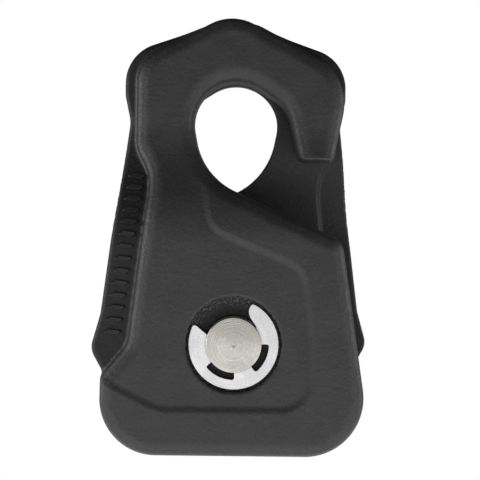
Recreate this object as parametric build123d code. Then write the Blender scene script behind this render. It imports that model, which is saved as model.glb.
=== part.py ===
"""Single sheave snatch block: two forged hook plates that swing on one pin, with a sheave between them.

Frame: +Z up towards the shackle eye, +X right, the front plate faces -Y.
The origin is on the ground under the axle, midway between the plates. Units are millimetres.
"""
import os
from math import cos, radians, sin

from build123d import *

# ---- driving dimensions -------------------------------------------------
axle_height = 51.0          # axle axis above the ground
plate_gap = 26.0            # between the plates beside the sheave
plate_thickness = 11.2      # forged section of hook and cheek
hook_clearance = 0.8        # between the two hooks where they overlap
cheek_rim = 1.0             # height of the raised border round each cheek

eye_radius = 19.1           # its centre is 99.9 above the axle

pin_radius = 12.5
running_clearance = 0.05    # radial, pin in plates and in bushing
pin_half_length = 25.0
end_play = 0.15             # axial gap between neighbouring turning faces

sheave_radius = 46.0
groove_radius = 6.0         # suits an 11 mm rope
tread_radius = 36.5         # sheave radius at the bottom of the groove
hub_radius = 23.0
web_half_width = 7.0
bushing_radius = 16.0

washer_radius = 20.0
washer_thickness = 1.4

clip_radius = 20.0
clip_thickness = 1.8
clip_recess_radius = 21.3
clip_recess_depth = 3.2
clip_groove_radius = 10.5
clip_window_radius = 15.8
clip_tip_radius = 3.0
clip_corner_radius = 1.5
clip_mouth = (66.5, 153)    # the clip's open side, between these angles in degrees
clip_windows = ((219, 272), (309, 361))

# ---- distances from the middle plane ------------------------------------
hook_inner = hook_clearance / 2
hook_outer = hook_inner + plate_thickness + cheek_rim
cheek_inner = plate_gap / 2
cheek_face = cheek_inner + plate_thickness
rim_face = cheek_face + cheek_rim
recess_floor = cheek_face - clip_recess_depth
clip_inner = recess_floor + 0.3
washer_outer = cheek_inner - end_play
washer_inner = washer_outer - washer_thickness
hub_half_width = washer_inner - end_play
flange_drop = 6.0           # the side flange lies this far below the face it borders

# ---- heights above the axle where the plate leans out to clear the sheave
lean_top = 89.0
lean_bottom = 56.0
flange_lean_drop = 12.0     # the flange's inner face leans out lower down


def slab(corners):
    """A plate-high prism along Y from corners given as X, height above the axle and rounding radius."""
    points = [(x, height) for x, height, radius in corners]
    radii = [radius for x, height, radius in corners]
    path = FilletPolyline(*points, radius=radii, close=True)
    face = make_face(Plane.XZ * Pos(0, axle_height) * path)
    return extrude(face, amount=80, both=True)


def side_section(points):
    """A prism along X from a side view given as distance to the front and height above the axle."""
    outline = [(-away, axle_height + height) for away, height in points]
    face = make_face(Plane.YZ * Polyline(*outline, close=True))
    return extrude(face, amount=90, both=True)


def on_axle(shape):
    """Turn a piece made round Z so that it sits on the axle with its top to the front."""
    return Pos(0, 0, axle_height) * Rot(90, 0, 0) * shape


def polar(radius, angle):
    return (radius * cos(radians(angle)), radius * sin(radians(angle)))


def sector(inner, outer, start, end):
    """Flat ring sector between two angles in degrees."""
    middle = (start + end) / 2
    edges = [
        ThreePointArc(polar(outer, start), polar(outer, middle), polar(outer, end)),
        Line(polar(outer, end), polar(inner, end)),
        ThreePointArc(polar(inner, end), polar(inner, middle), polar(inner, start)),
        Line(polar(inner, start), polar(outer, start)),
    ]
    return make_face(edges)


def cheek_and_hook():
    """The thick part of the plate, full depth of the forging, with the eye and the throat cut in its outline."""
    outline = slab([
        (-2.5, 152.3, 22),          # crown of the hook
        (50.4, 125, 24),
        (50.4, 107, 20),
        (45.4, 82.8, 4),            # hook tip
        (28.9, 82.8, 4),
        (23.4, 107.5, 16),
        (-27.2, 140.3, eye_radius),
        (-14.9, 75.8, 32),          # foot of the throat
        (48.9, 47, 6),
        (63.8, -axle_height, 27),
        (-60.8, -axle_height, 26),
        (-60.2, -15.4, 3),          # end of the side flange
        (-48.1, -0.5, 12),
        (-39.8, 68, 40),
        (-40.1, 76.5, 6),
        (-46.4, 88.3, 18),
        (-46.4, 129, 16),
    ])
    section = side_section([
        (hook_inner, 170), (hook_outer, 170), (hook_outer, lean_top), (rim_face, lean_bottom),
        (rim_face, -70), (cheek_inner, -70), (cheek_inner, lean_bottom - 2), (hook_inner, lean_top - 1),
    ])
    return outline & section


def side_flange():
    """The thinner strip along the closed side of the plate."""
    outline = slab([
        (-15, 145.2, 1),
        (-51.8, 132.4, 19),
        (-51.8, 113, 12),
        (-49.2, 101, 15),
        (-60.4, 12.5, 12),
        (-64.9, -3.5, 9),
        (-59, -14, 1),
        (-54, -14, 1),
        (-46, 0, 5),
        (-37.9, 67, 8),
        (-38.2, 77.5, 5),
        (-44.4, 89.5, 5),
        (-44.4, 121, 5),
        (-15, 138, 1),
    ])
    section = side_section([
        (hook_inner, 170), (hook_outer - flange_drop, 170), (hook_outer - flange_drop, lean_top - 3),
        (rim_face - flange_drop, lean_bottom - 3), (rim_face - flange_drop, -70), (cheek_inner, -70),
        (cheek_inner, lean_bottom - flange_lean_drop), (hook_inner, lean_top - 1 - flange_lean_drop),
    ])
    return outline & section


def cheek_relief():
    """The shallow flat inside the raised border, open towards the flange."""
    outline = slab([
        (-19, 95, 1),
        (-11, 51.5, 12),
        (31, 34, 5),
        (35.4, 0, 20),
        (35.4, -28.9, 9),
        (-33, -28.9, 20),
        (-58, -17, 1),
        (-90, -17, 1),
        (-90, 95, 1),
    ])
    section = side_section([
        (hook_outer, lean_top), (cheek_face, lean_bottom), (cheek_face, -70), (100, -70), (100, lean_top),
    ])
    return outline & section


def hook_plate():
    """One forged side plate with its eye, throat, pin hole and clip recess."""
    plate = cheek_and_hook() + side_flange()
    plate -= cheek_relief()
    plate -= on_axle(Cylinder(pin_radius + running_clearance, 160))
    recess = Cylinder(clip_recess_radius, 20, align=(Align.CENTER, Align.CENTER, Align.MIN))
    plate -= on_axle(Pos(0, 0, recess_floor) * recess)
    return plate


def sheave():
    """Rope wheel with a round-bottomed groove, a hub and a thinner web."""
    rim_half_width = hub_half_width
    groove_centre = tread_radius + groove_radius
    section = Polyline(
        (bushing_radius, -hub_half_width), (hub_radius, -hub_half_width), (hub_radius + 2, -web_half_width),
        (tread_radius - 8, -web_half_width), (tread_radius - 6, -rim_half_width),
        (sheave_radius, -rim_half_width), (sheave_radius, rim_half_width),
        (tread_radius - 6, rim_half_width), (tread_radius - 8, web_half_width),
        (hub_radius + 2, web_half_width), (hub_radius, hub_half_width), (bushing_radius, hub_half_width),
        close=True,
    )
    mouth = Polygon(
        (groove_centre - 1, -groove_radius), (sheave_radius + 1, -groove_radius - 3),
        (sheave_radius + 1, groove_radius + 3), (groove_centre - 1, groove_radius), align=None,
    )
    face = make_face(section) - Pos(groove_centre, 0) * Circle(groove_radius) - mouth
    return on_axle(revolve(Plane.XZ * face, Axis.Z))


def bushing():
    """Bronze sleeve pressed into the sheave."""
    sleeve = Cylinder(bushing_radius, 2 * hub_half_width)
    return on_axle(sleeve - Cylinder(pin_radius + running_clearance, 80))


def thrust_washer():
    """Flat ring between the sheave's hub and the front plate."""
    ring = Cylinder(washer_radius, washer_thickness) - Cylinder(pin_radius + running_clearance, 10)
    return on_axle(Pos(0, 0, (washer_inner + washer_outer) / 2) * ring)


def axle_pin():
    """Plain pin, grooved near both ends for the clips, with a centre mark in each end."""
    pin = Cylinder(pin_radius, 2 * pin_half_length)
    pin = chamfer(pin.edges().filter_by(GeomType.CIRCLE), 0.6)
    for side in (-1, 1):
        ring = Cylinder(pin_radius + 5, clip_thickness + 0.1) - Cylinder(clip_groove_radius, 10)
        pin -= Pos(0, 0, side * (clip_inner + clip_thickness / 2)) * ring
        centre_mark = Pos(0, 0, side * pin_half_length) * Rot(90 - 90 * side, 0, 0)
        pin -= centre_mark * Pos(0, 0, -0.5) * Cone(0.4, 1.4, 1)
    return on_axle(pin)


def retaining_clip():
    """E-shaped spring clip: three prongs in the pin's groove, open at the upper left."""
    ring = sector(clip_groove_radius + running_clearance, clip_radius, clip_mouth[1] - 360, clip_mouth[0])
    ring = fillet(ring.vertices(), clip_tip_radius)
    for start, end in clip_windows:
        window = sector(clip_groove_radius - 4, clip_window_radius, start, end)
        ring -= fillet(window.vertices(), clip_corner_radius)
    return on_axle(Pos(0, 0, clip_inner) * extrude(ring, amount=clip_thickness))


front_plate = hook_plate()
front_washer = thrust_washer()
front_clip = retaining_clip()
half_turn = Rot(0, 0, 180)

parts = {
    "rear_plate": half_turn * front_plate,
    "front_plate": front_plate,
    "axle_pin": axle_pin(),
    "front_clip": front_clip,
    "rear_clip": half_turn * front_clip,
    "sheave": sheave(),
    "bushing": bushing(),
    "front_thrust_washer": front_washer,
    "rear_thrust_washer": half_turn * front_washer,
}

os.makedirs("parts", exist_ok=True)
for name, shape in parts.items():
    export_step(shape, f"parts/{name}.step")
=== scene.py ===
import math
import bmesh
import bpy
import numpy as np
import openvdb
from mathutils import Matrix, Vector


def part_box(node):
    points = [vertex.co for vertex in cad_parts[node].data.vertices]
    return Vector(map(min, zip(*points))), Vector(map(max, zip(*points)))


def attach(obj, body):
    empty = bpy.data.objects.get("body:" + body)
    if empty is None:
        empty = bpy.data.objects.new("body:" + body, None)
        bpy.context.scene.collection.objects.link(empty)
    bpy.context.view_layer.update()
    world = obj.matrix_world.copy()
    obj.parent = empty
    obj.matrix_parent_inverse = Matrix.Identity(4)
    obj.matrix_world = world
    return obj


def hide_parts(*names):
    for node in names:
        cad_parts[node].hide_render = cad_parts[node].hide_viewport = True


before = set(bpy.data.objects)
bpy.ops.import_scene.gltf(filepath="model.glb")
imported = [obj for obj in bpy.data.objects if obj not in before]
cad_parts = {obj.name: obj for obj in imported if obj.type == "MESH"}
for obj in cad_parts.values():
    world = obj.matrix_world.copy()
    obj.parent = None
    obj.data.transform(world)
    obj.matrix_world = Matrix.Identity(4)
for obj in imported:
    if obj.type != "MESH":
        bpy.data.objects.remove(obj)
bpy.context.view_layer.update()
mm = 0.001
tiny = 1e-12  # shorter than this is nothing

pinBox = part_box("axle_pin")
axleHeight = (pinBox[0][2] + pinBox[1][2]) / 2 / mm

# forged plates, sizes in millimetres; a corner is X, height above the axle, and rounding radius
hookPlate = {
    # voxels, and the box they fill as X, distance from the middle plane, and height above the axle
    "voxel": 0.75, "quickVoxel": 1.2, "gridLow": (-67, -1.5, -53), "gridHigh": (63, 27.5, 151),
    "mapLow": (-70, -56), "mapHigh": (68, 154), "mapStep": 0.5, "farOutside": 5.0,
    "settleRounds": 3, "settleReach": 0.05, "leastSlope": 0.05, "normalReach": 0.12,
    # the eye, the walls' draft, and the faces as distances from the middle plane
    "eyeRadius": 19.1, "eyeHeight": 99.9, "eyeReach": 8.0, "eyeFade": 4.0, "draft": 0.08,
    "hookInner": 0.4, "hookOuter": 12.6, "cheekInner": 13.0, "cheekFace": 24.2,
    "borderHeight": 1.0, "borderSlope": 4.0,
    # where the plate leans out to clear the sheave
    "leanTop": 89.0, "leanBottom": 56.0, "leanSoftness": 0.35, "innerLeanShift": 1.0,
    # the flange's inner face is set back more in the upper part; a pair is a start and a run
    "flangeDrop": 6.0, "flangeLeanShift": 3.0, "flangeFillet": 2.2, "flangeOverlap": 1.0,
    "setBackLow": 0.8, "setBackHigh": 2.4, "setBackRise": (35, 25),
    # broad sloping edges, sharper at the hook's tip
    "edgeWide": 6.2, "edgeDeep": 2.6, "eyeEdgeDeep": 2.3, "edgeSoftness": 0.25, "edgeRound": 2.2,
    "innerEdge": 1.4, "flangeEdge": 2.4,
    "tipTop": (83.5, 3), "tipLeft": (18, 6), "tipFoot": (74, 4), "tipSharpness": 0.75,
    "longTip": {3: (43.4, 70, 3), 4: (31.7, 70, 3)},
    "recessRadius": 21.3, "recessDepth": 3.2, "recessEdge": 1.5, "pinHole": 12.55,
    "recessMargin": 0.3, "floorMargin": 0.5,
    # rubbed edges, and painted shade: the recessed flange and the inside are darker and reflect less
    "wearReach": 1.2, "wearStart": 0.25, "wearFull": 0.7, "paintedShadeFade": 1.5, "paintedShadeTurn": 1.5,
    "outline": [
        (-2.5, 152.3, 22), (50.4, 125, 24), (50.4, 107, 20), (45.4, 82.8, 4), (28.9, 82.8, 4),
        (23.4, 107.5, 16), (-27.2, 140.3, 19.1), (-14.9, 75.8, 32), (48.9, 47, 9),
        (63.8, -51, 27), (-60.8, -51, 26), (-60.2, -15.4, 3), (-48.1, -0.5, 12), (-39.8, 68, 40),
        (-40.1, 76.5, 18), (-46.4, 88.3, 18), (-46.4, 129, 16),
    ],
    "flange": [
        (-15, 145.2, 1), (-51.8, 132.4, 19), (-51.8, 113, 12), (-49.2, 101, 15), (-60.4, 12.5, 12),
        (-64.9, -3.5, 9), (-59, -14, 1), (-54, -14, 1), (-46, 0, 5), (-37.9, 67, 8), (-38.2, 77.5, 5),
        (-44.4, 89.5, 5), (-44.4, 121, 5), (-15, 138, 1),
    ],
    "relief": [
        (-19, 95, 1), (-11, 51.5, 12), (31, 34, 13), (35.4, 0, 30), (35.4, -28.9, 15),
        (-33, -28.9, 20), (-58, -17, 1), (-90, -17, 1), (-90, 95, 1),
    ],
}


def addToScene(name, data):
    piece = bpy.data.objects.new(name, data)
    bpy.context.scene.collection.objects.link(piece)
    return piece


def cornerRays(corners, i):
    # a corner, the unit directions to its two neighbours, and half the angle between them
    here = np.array(corners[i][:2], float)
    back = np.array(corners[i - 1][:2]) - here
    ahead = np.array(corners[(i + 1) % len(corners)][:2]) - here
    back = back / np.linalg.norm(back)
    ahead = ahead / np.linalg.norm(ahead)
    half = math.acos(np.clip(np.dot(back, ahead), -1, 1)) / 2
    return here, back, ahead, half


def roundedLoop(corners, step=0.5):
    # a closed outline with a true arc at each corner
    loop = []
    for i, (_, _, radius) in enumerate(corners):
        here, back, ahead, half = cornerRays(corners, i)
        centre = here + (back + ahead) / np.linalg.norm(back + ahead) * radius / math.sin(half)
        start = here + back * radius / math.tan(half) - centre
        end = here + ahead * radius / math.tan(half) - centre
        first = math.atan2(start[1], start[0])
        sweep = (math.atan2(end[1], end[0]) - first + math.pi) % (2 * math.pi) - math.pi
        count = max(2, math.ceil(abs(sweep) * radius / step))
        for k in range(count + 1):
            angle = first + sweep * k / count
            loop.append((centre[0] + radius * math.cos(angle), centre[1] + radius * math.sin(angle)))
    return np.array(loop)


def cubicWeights(t):
    return (
        (-t ** 3 + 2 * t ** 2 - t) / 2,
        (3 * t ** 3 - 5 * t ** 2 + 2) / 2,
        (-3 * t ** 3 + 4 * t ** 2 + t) / 2,
        (t ** 3 - t ** 2) / 2,
    )


class DistanceMap:
    # signed distance to a closed outline, negative inside, read back with smooth interpolation
    def __init__(self, corners, low, high, step):
        loop = roundedLoop(corners)
        self.low, self.step = np.array(low), step
        xs = np.arange(low[0], high[0], step)
        zs = np.arange(low[1], high[1], step)
        x, z = np.meshgrid(xs, zs, indexing="ij")
        nearest = np.full(x.shape, np.inf)
        inside = np.zeros(x.shape, bool)
        for a, b in zip(loop, np.roll(loop, -1, axis=0)):
            run = b - a
            length = run @ run
            if length < tiny:
                continue
            t = np.clip(((x - a[0]) * run[0] + (z - a[1]) * run[1]) / length, 0, 1)
            nearest = np.minimum(nearest, (x - a[0] - t * run[0]) ** 2 + (z - a[1] - t * run[1]) ** 2)
            crosses = (a[1] > z) != (b[1] > z)
            if abs(run[1]) > tiny:
                inside ^= crosses & (x < a[0] + run[0] * (z - a[1]) / run[1])
        self.values = np.where(inside, -1, 1) * np.sqrt(nearest)

    def read(self, x, z):
        u = (x - self.low[0]) / self.step
        v = (z - self.low[1]) / self.step
        i = np.clip(np.floor(u).astype(int), 1, self.values.shape[0] - 3)
        j = np.clip(np.floor(v).astype(int), 1, self.values.shape[1] - 3)
        weightsU = cubicWeights(u - i)
        weightsV = cubicWeights(v - j)
        total = 0
        for di in range(4):
            for dj in range(4):
                total = total + weightsU[di] * weightsV[dj] * self.values[i + di - 1, j + dj - 1]
        return total


def smoothMax(a, b, size):
    return np.maximum(a, b) + np.maximum(size - np.abs(a - b), 0) ** 2 / (4 * size)


def smoothMin(a, b, size):
    return -smoothMax(-a, -b, size)


def smoothStep(t):
    t = np.clip(t, 0, 1)
    return t * t * (3 - 2 * t)


def ramp(value, start, run):
    return smoothStep((value - start) / run)


def roundedEdge(side, face, wide, deep):
    # where a wall and a face meet, an elliptical rounding: wide across the face, deep down the wall
    u = side / wide + 1
    v = face / deep + 1
    outside = np.hypot(np.maximum(u, 0), np.maximum(v, 0)) - 1
    return (outside + np.minimum(np.maximum(u, v), 0)) * np.minimum(wide, deep)


def plateField(maps, x, away, z):
    # below zero inside the forging; away is the distance from the middle plane towards the front
    p = hookPlate
    body, bevel, flange, relief = maps
    span = p["leanTop"] - p["leanBottom"]

    def lean(shift):
        t = (p["leanTop"] - shift - z) / span
        return smoothMin(smoothMax(t, 0, p["leanSoftness"]), 1, p["leanSoftness"])

    rise = p["cheekFace"] - p["hookOuter"]
    innerRise = p["cheekInner"] - p["hookInner"]
    leanHere = lean(0)
    border = smoothStep(relief / p["borderSlope"] + 0.5) * p["borderHeight"] * leanHere
    outer = p["hookOuter"] + rise * leanHere + border
    inner = p["hookInner"] + innerRise * lean(p["innerLeanShift"])
    flangeOuter = p["hookOuter"] - p["flangeDrop"] + rise * lean(p["flangeLeanShift"])
    setBackMore = (p["setBackHigh"] - p["setBackLow"]) * ramp(z, *p["setBackRise"])
    flangeInner = inner + p["setBackLow"] + setBackMore

    fromEye = np.hypot(x, z - p["eyeHeight"]) - p["eyeRadius"]
    nearEye = np.exp(-np.maximum(fromEye - p["eyeReach"], 0) / p["eyeFade"])
    deep = p["edgeDeep"] + (p["eyeEdgeDeep"] - p["edgeDeep"]) * nearEye
    sloping = smoothMax(bevel / p["edgeWide"] + 1, 0, p["edgeSoftness"])
    onTip = (1 - ramp(z, *p["tipTop"])) * ramp(x, *p["tipLeft"]) * ramp(z, *p["tipFoot"])
    roundHere = p["edgeRound"] * (1 - p["tipSharpness"] * onTip)
    drafted = body + p["draft"] * np.maximum(away - inner, 0)
    solid = np.maximum(
        roundedEdge(drafted, away - outer + deep * sloping, roundHere, roundHere),
        roundedEdge(body, inner - away, p["innerEdge"], p["innerEdge"]),
    )
    strip = np.maximum(
        roundedEdge(flange, away - flangeOuter, p["flangeEdge"], p["flangeEdge"]),
        roundedEdge(flange, flangeInner - away, p["innerEdge"], p["innerEdge"]),
    )
    strip = np.maximum(strip, -p["flangeOverlap"] - body)
    solid = smoothMin(solid, strip, p["flangeFillet"])
    solid = np.maximum(solid, inner - away)

    fromAxle = np.hypot(x, z)
    recess = np.maximum(fromAxle - p["recessRadius"], p["cheekFace"] - p["recessDepth"] - away)
    solid = smoothMax(solid, -recess, p["recessEdge"])
    return np.maximum(solid, p["pinHole"] - fromAxle)


def buildPlate():
    # voxels, then each point settled on the true surface, with its normal, its wear and its painted shade
    p = hookPlate
    voxel = p["voxel"]
    # the bevel runs on past the hook's tip, so its outline has a longer tip
    longTip = [p["longTip"].get(k, corner) for k, corner in enumerate(p["outline"])]
    corners = [p["outline"], longTip, p["flange"], p["relief"]]
    outlines = [DistanceMap(loop, p["mapLow"], p["mapHigh"], p["mapStep"]) for loop in corners]
    xs, aways, zs = [np.arange(low, high, voxel) for low, high in zip(p["gridLow"], p["gridHigh"])]
    x, z = np.meshgrid(xs, zs, indexing="ij")
    maps = [outline.read(x, z)[:, None, :] for outline in outlines]
    values = plateField(maps, x[:, None, :], aways[None, :, None], z[:, None, :])
    grid = openvdb.FloatGrid(p["farOutside"])
    grid.copyFromArray(np.ascontiguousarray(values, dtype=np.float32))
    points, _, quads = grid.convertToPolygons(0.0, 0.0)
    points = np.array(points, float) * voxel + np.array((xs[0], aways[0], zs[0]))

    def fieldAt(q):
        maps = [outline.read(q[:, 0], q[:, 2]) for outline in outlines]
        return plateField(maps, q[:, 0], q[:, 1], q[:, 2])

    def slopeAt(q, reach):
        return np.stack([
            (fieldAt(q + step) - fieldAt(q - step)) / (2 * reach) for step in np.eye(3) * reach
        ], axis=1)

    for _ in range(p["settleRounds"]):
        slope = slopeAt(points, p["settleReach"])
        steepness = np.maximum((slope ** 2).sum(axis=1), p["leastSlope"])
        move = fieldAt(points)[:, None] * slope / steepness[:, None]
        points -= np.clip(move, -voxel / 3, voxel / 3)
    normals = slopeAt(points, p["normalReach"])
    normals /= np.linalg.norm(normals, axis=1)[:, None]
    reach = p["wearReach"]
    bend = (fieldAt(points - normals * reach) + reach) / reach
    worn = np.clip((bend - p["wearStart"]) / (p["wearFull"] - p["wearStart"]), 0, 1)
    # painted shade on the recessed flange and on faces turned towards the middle plane, where shade falls
    onFlange = smoothStep(outlines[0].read(points[:, 0], points[:, 2]) / p["paintedShadeFade"])
    paintedShade = np.maximum(onFlange, smoothStep(-normals[:, 1] * p["paintedShadeTurn"]))
    return points, np.array(quads, int), normals, {"worn": worn, "paintedShade": paintedShade}


def meshFromArrays(name, points, faces, normals, wearAndPaintedShade):
    mesh = bpy.data.meshes.new(name)
    mesh.from_pydata(points.tolist(), [], faces.tolist())
    mesh.shade_smooth()
    mesh.normals_split_custom_set_from_vertices(normals.tolist())
    for finish, values in wearAndPaintedShade.items():
        mesh.attributes.new(finish, "FLOAT", "POINT").data.foreach_set("value", values.astype(np.float32))
    return addToScene(name, mesh)


def addPlates(material, floorMaterial):
    points, quads, normals, wearAndPaintedShade = buildPlate()
    print("plate", len(points), "points", len(quads), "faces")
    place = np.stack((points[:, 0], -points[:, 1], points[:, 2] + axleHeight), axis=1) * mm
    facing = normals * (1, -1, 1)
    a, b, c = place[quads[:, 0]], place[quads[:, 1]], place[quads[:, 2]]
    outward = (np.cross(b - a, c - a) * facing[quads[:, 0]]).sum()
    if outward < 0:
        quads = quads[:, ::-1]
    # faces in the clip recess get the recess material, painted near black as shade
    middle = points[quads].mean(axis=1)
    near = np.hypot(middle[:, 0], middle[:, 2]) < hookPlate["recessRadius"] + hookPlate["recessMargin"]
    front = middle[:, 1] > hookPlate["cheekInner"] + hookPlate["floorMargin"]
    inRecess = (near & front).astype(np.int32)
    for node, turn in (("front_plate", (1, 1, 1)), ("rear_plate", (-1, -1, 1))):
        piece = meshFromArrays(node + "_forging", place * turn, quads, facing * turn, wearAndPaintedShade)
        piece.data.materials.append(material)
        piece.data.materials.append(floorMaterial)
        piece.data.polygons.foreach_set("material_index", inRecess)
        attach(piece, node)
        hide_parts(node)


# satin black coat on the forgings
coat = {
    "deepColour": (0.0070, 0.0071, 0.0073, 1), "paleColour": (0.0098, 0.0098, 0.0102, 1),
    "paintedShadeColour": (0.0050, 0.0050, 0.0052, 1), "wornColour": (0.026, 0.026, 0.027, 1),
    "mottleScale": 90.0, "mottleSpread": (0.35, 0.65),
    "grainScale": 950.0, "grainSpread": (0.3, 0.7), "grainHeight": 0.00013,
    "peelScale": 420.0, "peelSpread": (0.35, 0.6), "peelHeight": 0.00016,
    "specular": 0.34, "paintedShadeSpecular": 0.20,
    "smoothRoughness": 0.48, "dullRoughness": 0.62, "wornPolish": 0.08,
}


class NodeKit:
    # short calls for the nodes of one tree
    def __init__(self, tree):
        self.nodes, self.links = tree.nodes, tree.links

    def plug(self, socket, value):
        if isinstance(value, bpy.types.NodeSocket):
            self.links.new(value, socket)
        else:
            socket.default_value = value

    def maths(self, operation, *values):
        node = self.nodes.new("ShaderNodeMath")
        node.operation = operation
        for socket, value in zip(node.inputs, values):
            self.plug(socket, value)
        return node.outputs[0]

    def spread(self, value, low, high, to=(0.0, 1.0), interpolation="SMOOTHSTEP"):
        node = self.nodes.new("ShaderNodeMapRange")
        node.interpolation_type = interpolation
        sizes = {"Value": value, "From Min": low, "From Max": high, "To Min": to[0], "To Max": to[1]}
        for name, size in sizes.items():
            self.plug(node.inputs[name], size)
        return node.outputs["Result"]

    def split(self, vector):
        node = self.nodes.new("ShaderNodeSeparateXYZ")
        self.links.new(vector, node.inputs[0])
        return node.outputs


class Shade(NodeKit):
    # a material under construction
    def __init__(self, name, metallic=0.0):
        self.material = bpy.data.materials.new(name)
        self.material.use_nodes = True
        super().__init__(self.material.node_tree)
        self.shader = self.nodes["Principled BSDF"]
        self.shader.inputs["Metallic"].default_value = metallic
        self.place = self.nodes.new("ShaderNodeTexCoord").outputs["Object"]

    def noise(self, scale, detail=2.0, along=None, rough=0.5):
        node = self.nodes.new("ShaderNodeTexNoise")
        if along is None:
            self.links.new(self.place, node.inputs["Vector"])
        else:
            node.noise_dimensions = "1D"
            self.links.new(along, node.inputs["W"])
        node.inputs["Scale"].default_value = scale
        node.inputs["Detail"].default_value = detail
        node.inputs["Roughness"].default_value = rough
        return node.outputs["Fac"]

    def blend(self, share, first, second):
        node = self.nodes.new("ShaderNodeMix")
        node.data_type = "RGBA"
        for slot, value in ((0, share), (6, first), (7, second)):  # factor and the two colours
            self.plug(node.inputs[slot], value)
        return node.outputs[2]

    def attribute(self, name):
        node = self.nodes.new("ShaderNodeAttribute")
        node.attribute_name = name
        return node.outputs["Fac"]

    def bump(self, height, distance, under=None):
        node = self.nodes.new("ShaderNodeBump")
        node.inputs["Strength"].default_value = 1.0
        node.inputs["Distance"].default_value = distance
        self.links.new(height, node.inputs["Height"])
        if under is not None:
            self.links.new(under, node.inputs["Normal"])
        return node.outputs["Normal"]

    def fromAxle(self):
        x, y, z = self.split(self.place)
        high = self.maths("SUBTRACT", z, axleHeight * mm)
        square = self.maths("ADD", self.maths("MULTIPLY", x, x), self.maths("MULTIPLY", high, high))
        return self.maths("SQRT", square), y

    def finish(self, colour, roughness, normal=None):
        self.plug(self.shader.inputs["Base Color"], colour)
        self.plug(self.shader.inputs["Roughness"], roughness)
        if normal is not None:
            self.links.new(normal, self.shader.inputs["Normal"])
        return self.material


def makeCoat():
    s = Shade("satinBlackCoat")
    mottle = s.spread(s.noise(coat["mottleScale"], detail=4), *coat["mottleSpread"])
    grain = s.noise(coat["grainScale"], detail=2)
    peel = s.noise(coat["peelScale"], detail=1)
    wear = s.maths("MULTIPLY", s.attribute("worn"), s.spread(peel, *coat["peelSpread"]))
    # painted shade from the attribute: a darker colour and a weaker reflection on the flange and the inside
    # faces
    paintedShade = s.attribute("paintedShade")
    colour = s.blend(mottle, coat["deepColour"], coat["paleColour"])
    colour = s.blend(paintedShade, colour, coat["paintedShadeColour"])
    colour = s.blend(wear, colour, coat["wornColour"])
    roughness = s.spread(grain, *coat["grainSpread"], (coat["smoothRoughness"], coat["dullRoughness"]))
    roughness = s.maths("SUBTRACT", roughness, s.maths("MULTIPLY", wear, coat["wornPolish"]))
    specular = s.spread(paintedShade, 0, 1, (coat["specular"], coat["paintedShadeSpecular"]))
    s.plug(s.shader.inputs["Specular IOR Level"], specular)
    normal = s.bump(peel, coat["peelHeight"])
    normal = s.bump(grain, coat["grainHeight"], normal)
    return s.finish(colour, roughness, normal)


# the clip recess is coarser, with painted shade: near black, with lighter specks only in a band towards its
# rim
recess = {
    "colour": (0.003, 0.003, 0.003, 1), "speckColour": (0.07, 0.07, 0.07, 1), "specular": 0.28,
    "bandStart": 0.0150, "bandEnd": 0.0205, "speckSpread": (0.48, 0.62),
    "grainScale": 1000.0, "grainHeight": 0.0006, "grainSpread": (0.35, 0.65), "roughness": (0.55, 0.85),
}


def makeRecessShade():
    s = Shade("recessPaintedShade")
    s.shader.inputs["Specular IOR Level"].default_value = recess["specular"]
    reach, _ = s.fromAxle()
    # painted shade near the pin: the lighter specks only come in towards the rim
    band = s.spread(reach, recess["bandStart"], recess["bandEnd"])
    grain = s.noise(recess["grainScale"], detail=3, rough=0.65)
    specks = s.maths("MULTIPLY", band, s.spread(grain, *recess["speckSpread"]))
    colour = s.blend(specks, recess["colour"], recess["speckColour"])
    roughness = s.spread(grain, *recess["grainSpread"], recess["roughness"])
    return s.finish(colour, roughness, s.bump(grain, recess["grainHeight"]))


# bare metals: colour, how far it varies, roughness range, ring marks and fine grain
metals = {
    "turnedSteel": {
        "colour": (0.345, 0.333, 0.309, 1), "dark": (0.255, 0.246, 0.227, 1), "roughness": (0.24, 0.38),
        "ringScale": 1900.0, "ringHeight": 0.000090, "grainScale": 900.0, "grainHeight": 0.000006,
    },
    "brightSpringSteel": {
        "colour": (0.385, 0.385, 0.390, 1), "dark": (0.325, 0.325, 0.330, 1), "roughness": (0.22, 0.32),
        "ringScale": 400.0, "ringHeight": 0.0, "grainScale": 1300.0, "grainHeight": 0.000005,
    },
    "platedSheaveSteel": {
        "colour": (0.46, 0.46, 0.45, 1), "dark": (0.30, 0.30, 0.30, 1), "roughness": (0.26, 0.44),
        "ringScale": 1300.0, "ringHeight": 0.000035, "grainScale": 500.0, "grainHeight": 0.000012,
    },
    "sinteredBronze": {
        "colour": (0.62, 0.40, 0.20, 1), "dark": (0.40, 0.25, 0.12, 1), "roughness": (0.34, 0.52),
        "ringScale": 1800.0, "ringHeight": 0.000012, "grainScale": 2400.0, "grainHeight": 0.000020,
    },
    "groundWasherSteel": {
        "colour": (0.52, 0.52, 0.52, 1), "dark": (0.36, 0.36, 0.36, 1), "roughness": (0.24, 0.38),
        "ringScale": 3200.0, "ringHeight": 0.000012, "grainScale": 1500.0, "grainHeight": 0.000008,
    },
}

# what all of them share: soft mottling, and how far colour and grain swing
metalFinish = {
    "mottleScale": 90.0, "ringShare": 0.5, "colourSpread": (0.42, 0.62), "grainSpread": (0.3, 0.7),
}


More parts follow.
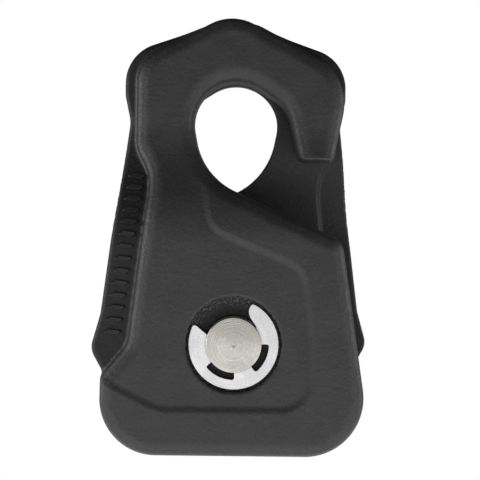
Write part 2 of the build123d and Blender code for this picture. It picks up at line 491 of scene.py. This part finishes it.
def makeMetal(name):
    m = metals[name]
    s = Shade(name, metallic=1.0)
    reach, y = s.fromAxle()
    rings = s.noise(m["ringScale"], detail=3, along=s.maths("ADD", reach, y), rough=0.6)
    grain = s.noise(m["grainScale"], detail=3, rough=0.6)
    mottle = s.noise(metalFinish["mottleScale"], detail=3)
    ringPart = s.maths("MULTIPLY", rings, metalFinish["ringShare"])
    mottlePart = s.maths("MULTIPLY", mottle, 1 - metalFinish["ringShare"])
    shade = s.spread(s.maths("ADD", ringPart, mottlePart), *metalFinish["colourSpread"])
    colour = s.blend(shade, m["dark"], m["colour"])
    roughness = s.spread(grain, *metalFinish["grainSpread"], m["roughness"])
    normal = s.bump(grain, m["grainHeight"])
    if m["ringHeight"]:
        normal = s.bump(rings, m["ringHeight"], normal)
    return s.finish(colour, roughness, normal)


def meshPiece(name, points, faces, material, body, slot, *nodes):
    # a plain mesh that rides on a body, with its faces turned outwards
    mesh = bpy.data.meshes.new(name)
    mesh.from_pydata([tuple(p) for p in points], [], [tuple(f) for f in faces])
    mesh.materials.append(material)
    piece = addToScene(name, mesh)
    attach(piece, body)
    if nodes:
        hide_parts(*nodes)
    work = bmesh.new()
    work.from_mesh(mesh)
    bmesh.ops.recalc_face_normals(work, faces=work.faces)
    work.to_mesh(mesh)
    work.free()
    return piece


def bentLine(start, here, end, count):
    # from start to end, bent towards here
    steps = np.linspace(0, 1, count + 1)
    return [start * (1 - t) ** 2 + here * 2 * t * (1 - t) + end * t ** 2 for t in steps]


# turned pieces: corners of the section as distance from the axle, distance to the front, rounding
turned = {
    "segments": 160, "cornerRuns": 5, "splitAngle": 28,
    "axle_pin": [
        (0, 24.86, 0.0), (0.3, 24.86, 0.1), (0.8, 25, 0.2), (12.5, 25, 0.75), (12.5, 23.2, 0.12),
        (10.5, 23.2, 0.1), (10.5, 21.3, 0.1), (12.5, 21.3, 0.12), (12.5, -21.3, 0.12), (10.5, -21.3, 0.1),
        (10.5, -23.2, 0.1), (12.5, -23.2, 0.12), (12.5, -25, 0.75), (0.8, -25, 0.2), (0.3, -24.86, 0.1),
        (0, -24.86, 0.0),
    ],
    "sheave": [
        (16, 11.3, 0.0), (23, 11.3, 0.8), (24.6, 7, 1.6), (28.9, 7, 1.6), (30.4, 11.3, 0.8),
        (46, 11.3, 1.2), (46, 8.6, 0.7), (42.5, 6, 0.8), (36.5, 6, 5.9),
        (36.5, -6, 5.9), (42.5, -6, 0.8), (46, -8.6, 0.7), (46, -11.3, 1.2),
        (30.4, -11.3, 0.8), (28.9, -7, 1.6), (24.6, -7, 1.6), (23, -11.3, 0.8), (16, -11.3, 0.0),
    ],
    "bushing": [(12.55, 11.3, 0.4), (15.99, 11.3, 0.15), (15.99, -11.3, 0.15), (12.55, -11.3, 0.4)],
    "front_thrust_washer": [(12.55, 12.85, 0.2), (20, 12.85, 0.35), (20, 11.45, 0.35), (12.55, 11.45, 0.2)],
    "rear_thrust_washer": [
        (12.55, -11.45, 0.2), (20, -11.45, 0.35), (20, -12.85, 0.35), (12.55, -12.85, 0.2),
    ],
}


def roundedSection(corners):
    # a section with each corner rounded, and its long runs left whole
    line = []
    for i, (_, _, radius) in enumerate(corners):
        here, back, ahead, half = cornerRays(corners, i)
        if radius == 0:
            line.append(here)
            continue
        setBack = radius / math.tan(half)
        line += bentLine(here + back * setBack, here, here + ahead * setBack, turned["cornerRuns"])
    return line


def addTurned(node, name, material, body, slot):
    section = roundedSection(turned[node])
    count = turned["segments"]
    points, faces, rings = [], [], []
    for reach, forward in section:
        if reach == 0:  # the section ends on the axle, so this ring is one point
            rings.append([len(points)] * count)
            points.append((0, -forward * mm, axleHeight * mm))
            continue
        rings.append(list(range(len(points), len(points) + count)))
        for k in range(count):
            angle = 2 * math.pi * k / count
            across, up = reach * math.cos(angle), reach * math.sin(angle)
            points.append((across * mm, -forward * mm, (axleHeight + up) * mm))
    pairs = list(zip(rings, rings[1:]))
    if section[0][0] > 0:
        pairs.append((rings[-1], rings[0]))
    for a, b in pairs:
        for k in range(count):
            j = (k + 1) % count
            corners = [a[k], a[j], b[j], b[k]]
            faces.append([c for n, c in enumerate(corners) if c not in corners[:n]])
    piece = meshPiece(name, points, faces, material, body, slot, node)
    piece.data.shade_smooth()
    edges = piece.modifiers.new("edges", "EDGE_SPLIT")
    edges.split_angle = math.radians(turned["splitAngle"])


# spring clips: sizes in millimetres, angles in degrees seen from the front, prong as radius and angle
clip = {
    "inner": 10.55, "outer": 20.0, "windowOuter": 15.8, "mouthStart": 66.5, "mouthEnd": 153.0,
    "windows": [(219.0, 272.0), (309.0, 361.0)], "tipRadius": 1.9, "rootRadius": 1.3,
    "bottom": 21.3, "thickness": 1.8, "heelAngle": 165.0,
    "prong": [(20.0, 66.8), (16.4, 67.0), (14.1, 59.0), (12.9, 36.0), (10.55, 24.0), (10.55, 20.0)],
    "prongRadii": [1.5, 1.5, 1.5, 1.5, 0.7], "prongFoot": 4.0,
    "cornerRuns": 6, "leastStep": 0.02, "edge": 0.28, "edgeRuns": 3, "edgeAngle": 40,
}


def polar(radius, angle):
    return (radius * math.cos(math.radians(angle)), radius * math.sin(math.radians(angle)))


def arcPoints(radius, start, end, step=2.0):
    count = max(2, math.ceil(abs(end - start) / step))
    return [polar(radius, start + (end - start) * k / count) for k in range(count + 1)]


def softCorner(before, corner, after, radius):
    # three points as radius and angle, with the middle one rounded
    here = np.array(polar(*corner))
    back = np.array(polar(*before)) - here
    ahead = np.array(polar(*after)) - here
    start = here + back / np.linalg.norm(back) * radius
    end = here + ahead / np.linalg.norm(ahead) * radius
    return [tuple(point) for point in bentLine(start, here, end, clip["cornerRuns"])]


def clipOutline():
    # one closed loop: round the outside, then back along the prongs and windows inside
    inner, outer, window = clip["inner"], clip["outer"], clip["windowOuter"]
    tip, root = clip["tipRadius"], clip["rootRadius"]
    tipTurn, innerTurn, windowTurn = [
        math.degrees(size / radius) for size, radius in ((tip, outer), (root, inner), (root, window))
    ]
    first, last = clip["mouthEnd"] - 360, clip["mouthStart"]
    loop = arcPoints(outer, first + tipTurn, last - tipTurn)
    prong = [(outer, last - tipTurn)] + clip["prong"]
    for before, corner, after, radius in zip(prong, prong[1:], prong[2:], clip["prongRadii"]):
        loop += softCorner(before, corner, after, radius)
    here = clip["prong"][-1][1] - clip["prongFoot"]
    for start, end in reversed(clip["windows"]):
        start, end = start - 360, end - 360
        loop += arcPoints(inner, here, end + innerTurn)
        loop += softCorner((inner, end + 1), (inner, end), (window, end), root)
        loop += softCorner((inner, end), (window, end), (window, end - 1), root)
        loop += arcPoints(window, end - windowTurn, start + windowTurn)
        loop += softCorner((window, start + 1), (window, start), (inner, start), root)
        loop += softCorner((window, start), (inner, start), (inner, start - 1), root)
        here = start - innerTurn
    heel = clip["heelAngle"] - 360
    loop += arcPoints(inner, here, heel + innerTurn)
    loop += softCorner((inner, heel + 1), (inner, heel), (outer, first), root)
    loop += softCorner((inner, heel), (outer, first), (outer, first + 1), tip)
    return [p for n, p in enumerate(loop) if math.dist(p, loop[n - 1]) > clip["leastStep"]]


def addClips(material):
    loop = clipOutline()
    count = len(loop)
    points = [
        (x * mm, -away * mm, (z + axleHeight) * mm)
        for away in (clip["bottom"], clip["bottom"] + clip["thickness"]) for x, z in loop
    ]
    faces = [list(range(count)), list(range(2 * count - 1, count - 1, -1))]
    faces += [(k, k + count, (k + 1) % count + count, (k + 1) % count) for k in range(count)]
    for node, turn in (("front_clip", 1), ("rear_clip", -1)):
        placed = [(x * turn, y * turn, z) for x, y, z in points]
        piece = meshPiece(node + "_spring", placed, faces, material, "axle", "spring_steel", node)
        bevel = piece.modifiers.new("edges", "BEVEL")
        bevel.width = clip["edge"] * mm
        bevel.segments = clip["edgeRuns"]
        bevel.limit_method = "ANGLE"
        bevel.angle_limit = math.radians(clip["edgeAngle"])
        bevel.harden_normals = True
        piece.data.shade_smooth()


# raised bars along the side flange: the path is X, distance to the front, height above the axle
bars = {
    "path": [(-54.4, 18.2, 4.5), (-48.1, 18.2, 52.4), (-45.3, 10.4, 75.2)],
    "count": 14, "length": 7.0, "width": 2.4, "slant": 2.4, "height": 1.5, "sunk": 0.35, "corner": 0.5,
    "draft": 0.93, "steps": (0.78, 0.14, 0.08),  # each step is a share of the height, narrower by the draft
    "cornerRuns": 4, "mergeDistance": 0.000001, "paintedShade": 0.7,
}


def makeBarTree(material):
    tree = bpy.data.node_groups.new("flangeBars", "GeometryNodeTree")
    face = tree.interface
    face.new_socket("Geometry", in_out="INPUT", socket_type="NodeSocketGeometry")
    face.new_socket("Geometry", in_out="OUTPUT", socket_type="NodeSocketGeometry")
    sockets = {"count": face.new_socket("count", in_out="INPUT", socket_type="NodeSocketInt")}
    for name in ("length", "width", "slant", "height", "sunk", "corner", "draft"):
        sockets[name] = face.new_socket(name, in_out="INPUT", socket_type="NodeSocketFloat")
    kit = NodeKit(tree)
    add, link = kit.nodes.new, kit.links.new
    entry, leave = add("NodeGroupInput"), add("NodeGroupOutput")

    # one bar: a rounded slanted outline, raised in steps and closed underneath
    outline = add("GeometryNodeCurvePrimitiveQuadrilateral")
    outline.mode = "PARALLELOGRAM"
    link(entry.outputs["length"], outline.inputs["Width"])
    link(entry.outputs["width"], outline.inputs["Height"])
    link(entry.outputs["slant"], outline.inputs["Offset"])
    soften = add("GeometryNodeFilletCurve")
    soften.mode = "POLY"
    soften.inputs["Count"].default_value = bars["cornerRuns"]
    link(outline.outputs[0], soften.inputs["Curve"])
    link(entry.outputs["corner"], soften.inputs["Radius"])
    fill = add("GeometryNodeFillCurve")
    fill.mode = "NGONS"
    link(soften.outputs[0], fill.inputs["Curve"])
    solid, top = fill.outputs[0], None
    for share in bars["steps"]:
        raised = add("GeometryNodeExtrudeMesh")
        raised.inputs["Individual"].default_value = False
        link(solid, raised.inputs["Mesh"])
        if top is not None:
            link(top, raised.inputs["Selection"])
        link(kit.maths("MULTIPLY", entry.outputs["height"], share), raised.inputs["Offset Scale"])
        narrower = add("GeometryNodeScaleElements")
        link(raised.outputs["Mesh"], narrower.inputs["Geometry"])
        link(raised.outputs["Top"], narrower.inputs["Selection"])
        link(entry.outputs["draft"], narrower.inputs["Scale"])
        solid, top = narrower.outputs[0], raised.outputs["Top"]
    under = add("GeometryNodeFlipFaces")
    link(fill.outputs[0], under.inputs["Mesh"])
    whole = add("GeometryNodeJoinGeometry")
    link(solid, whole.inputs[0])
    link(under.outputs[0], whole.inputs[0])
    closed = add("GeometryNodeMergeByDistance")
    closed.inputs["Distance"].default_value = bars["mergeDistance"]
    link(whole.outputs[0], closed.inputs["Geometry"])
    offset = add("ShaderNodeCombineXYZ")
    link(kit.maths("MULTIPLY", entry.outputs["sunk"], -1), offset.inputs["Z"])
    seated = add("GeometryNodeTransform")
    link(closed.outputs[0], seated.inputs["Geometry"])
    link(offset.outputs[0], seated.inputs["Translation"])

    # a row of bars along the path, square to it and facing the front
    along = add("GeometryNodeMeshToCurve")
    link(entry.outputs[0], along.inputs["Mesh"])
    stops = add("GeometryNodeResampleCurve")
    link(along.outputs[0], stops.inputs["Curve"])
    link(entry.outputs["count"], stops.inputs["Count"])
    tangent = add("GeometryNodeInputTangent")
    facing = add("ShaderNodeVectorMath")
    facing.operation = "CROSS_PRODUCT"
    facing.inputs[0].default_value = (1, 0, 0)
    link(tangent.outputs[0], facing.inputs[1])
    upright = add("FunctionNodeAlignRotationToVector")
    upright.axis = "Z"
    link(facing.outputs[0], upright.inputs["Vector"])
    turnedAlong = add("FunctionNodeAlignRotationToVector")
    turnedAlong.axis, turnedAlong.pivot_axis = "Y", "Z"
    link(upright.outputs[0], turnedAlong.inputs["Rotation"])
    link(tangent.outputs[0], turnedAlong.inputs["Vector"])
    row = add("GeometryNodeInstanceOnPoints")
    link(stops.outputs[0], row.inputs["Points"])
    link(seated.outputs[0], row.inputs["Instance"])
    link(turnedAlong.outputs[0], row.inputs["Rotation"])
    real = add("GeometryNodeRealizeInstances")
    link(row.outputs[0], real.inputs[0])
    finished = add("GeometryNodeSetMaterial")
    finished.inputs["Material"].default_value = material
    link(real.outputs[0], finished.inputs["Geometry"])
    link(finished.outputs[0], leave.inputs[0])
    return tree, sockets


def addBars(material):
    mesh = bpy.data.meshes.new("barPath")
    path = [(x * mm, -away * mm, (z + axleHeight) * mm) for x, away, z in bars["path"]]
    mesh.from_pydata(path, [(k, k + 1) for k in range(len(path) - 1)], [])
    base = addToScene("barPath", mesh)
    tree, sockets = makeBarTree(material)
    modifier = base.modifiers.new("bars", "NODES")
    modifier.node_group = tree
    for name, socket in sockets.items():
        value = bars[name]
        modifier[socket.identifier] = value if name in ("count", "draft") else value * mm
    ready = base.evaluated_get(bpy.context.evaluated_depsgraph_get())
    made = bpy.data.meshes.new_from_object(ready)
    base.modifiers.remove(modifier)
    bpy.data.objects.remove(base)
    faces = [tuple(f.vertices) for f in made.polygons]
    for node, turn in (("front_plate", 1), ("rear_plate", -1)):
        points = [(v.co.x * turn, v.co.y * turn, v.co.z) for v in made.vertices]
        piece = meshPiece(node + "_flange_bars", points, faces, material, node, "coated_forging")
        # the bars take part of the flange's painted shade
        paintedShade = piece.data.attributes.new("paintedShade", "FLOAT", "POINT").data
        paintedShade.foreach_set("value", [bars["paintedShade"]] * len(paintedShade))


# camera in metres and degrees, and light that is strongest from the front and fades overhead
studio = {
    "cameraDistance": 0.430, "lens": 68.47, "sensor": 36, "nearLimit": 0.01,
    "targetX": 0.0025, "targetZ": 0.0976, "roll": 0.82, "yaw": -0.69, "pitch": 0.15,
    "frontSky": 0.72, "sideSky": 0.30, "backSky": 0.40, "skyEdge": 0.95, "skyMiddle": 0.1,
    "skyLow": 0.0, "skyHigh": 0.6, "overhead": 0.12,
    "floorHalf": 3.0, "frontFloor": 2.1, "backFloor": 0.30, "floorFade": 0.03,
    "floorColour": (0.9, 0.9, 0.9, 1), "floorRoughness": 0.9,
    "softboxes": {  # place, aim, size and watts
        "leftSoftbox": ((-0.7, -0.12, 0.14), (0, 0, 0.1), (0.35, 0.5), 4.6),
        "rightSoftbox": ((0.7, -0.08, 0.14), (0, 0, 0.1), (0.35, 0.5), 3.2),
    },
}


def addCamera():
    camera = bpy.data.cameras.new("camera")
    camera.lens = studio["lens"]
    camera.sensor_width = studio["sensor"]
    camera.clip_start = studio["nearLimit"]
    holder = addToScene("camera", camera)
    yaw, pitch, roll = [math.radians(studio[name]) for name in ("yaw", "pitch", "roll")]
    distance = studio["cameraDistance"]
    flat = distance * math.cos(pitch)
    holder.location = (
        studio["targetX"] + flat * math.sin(yaw), -flat * math.cos(yaw),
        studio["targetZ"] + distance * math.sin(pitch),
    )
    turn = Matrix.Rotation(yaw, 3, "Z") @ Matrix.Rotation(math.radians(90) - pitch, 3, "X")
    holder.rotation_euler = (turn @ Matrix.Rotation(roll, 3, "Z")).to_euler()
    bpy.context.scene.camera = holder


def addSoftbox(name, place, aim, size, power):
    light = bpy.data.lights.new(name, "AREA")
    light.shape = "RECTANGLE"
    light.size, light.size_y = size
    light.energy = power
    holder = addToScene(name, light)
    holder.location = place
    holder.visible_camera = False
    holder.rotation_euler = (Vector(aim) - Vector(place)).to_track_quat("-Z", "Y").to_euler()


def addFloor():
    # a glowing floor that the camera can't see, brighter in front of the object than behind it
    half = studio["floorHalf"]
    mesh = bpy.data.meshes.new("floor")
    corners = [(-half, -half, 0), (half, -half, 0), (half, half, 0), (-half, half, 0)]
    mesh.from_pydata(corners, [], [(0, 1, 2, 3)])
    floor = addToScene("floor", mesh)
    s = Shade("paleFloor")
    fade = s.spread(
        s.split(s.place)["Y"], -studio["floorFade"], studio["floorFade"],
        (studio["frontFloor"], studio["backFloor"]), "LINEAR",
    )
    s.shader.inputs["Emission Color"].default_value = (1, 1, 1, 1)
    s.plug(s.shader.inputs["Emission Strength"], fade)
    mesh.materials.append(s.finish(studio["floorColour"], studio["floorRoughness"]))
    floor.visible_camera = False


def addWorld():
    # plain white behind the object, and graded light for everything but the camera
    world = bpy.data.worlds.new("studio")
    world.use_nodes = True
    kit = NodeKit(world.node_tree)
    _, y, z = kit.split(kit.nodes.new("ShaderNodeTexCoord").outputs["Generated"])
    side, edge, middle = studio["sideSky"] / 2, studio["skyEdge"], studio["skyMiddle"]
    front = kit.spread(y, -edge, -middle, (studio["frontSky"], side))
    back = kit.spread(y, middle, edge, (side, studio["backSky"]))
    fade = kit.spread(z, studio["skyLow"], studio["skyHigh"], (1.0, studio["overhead"]))
    light = kit.maths("MULTIPLY", kit.maths("ADD", front, back), fade)
    seen = kit.nodes.new("ShaderNodeLightPath").outputs["Is Camera Ray"]
    background = kit.nodes["Background"]
    kit.plug(background.inputs["Strength"], kit.maths("MAXIMUM", light, seen))
    background.inputs["Color"].default_value = (1, 1, 1, 1)
    bpy.context.scene.world = world


addWorld()
addFloor()
addCamera()
for name, light in studio["softboxes"].items():
    addSoftbox(name, *light)
bpy.context.scene.view_settings.view_transform = "Standard"
print("studio ready")

coatMaterial = makeCoat()
addPlates(coatMaterial, makeRecessShade())
addBars(coatMaterial)
print("plates and flange bars ready")
addTurned("axle_pin", "axle_pin_turned", makeMetal("turnedSteel"), "axle", "turned_steel")
addClips(makeMetal("brightSpringSteel"))
print("pin and clips ready")
addTurned("sheave", "sheave_wheel", makeMetal("platedSheaveSteel"), "sheave", "sheave_steel")
addTurned("bushing", "sheave_bushing", makeMetal("sinteredBronze"), "sheave", "bronze")
washerSteel = makeMetal("groundWasherSteel")
for side in ("front", "rear"):
    node = side + "_thrust_washer"
    addTurned(node, side + "_washer_ring", washerSteel, side + "_washer", "washer_steel")
print("sheave, bushing and washers ready")
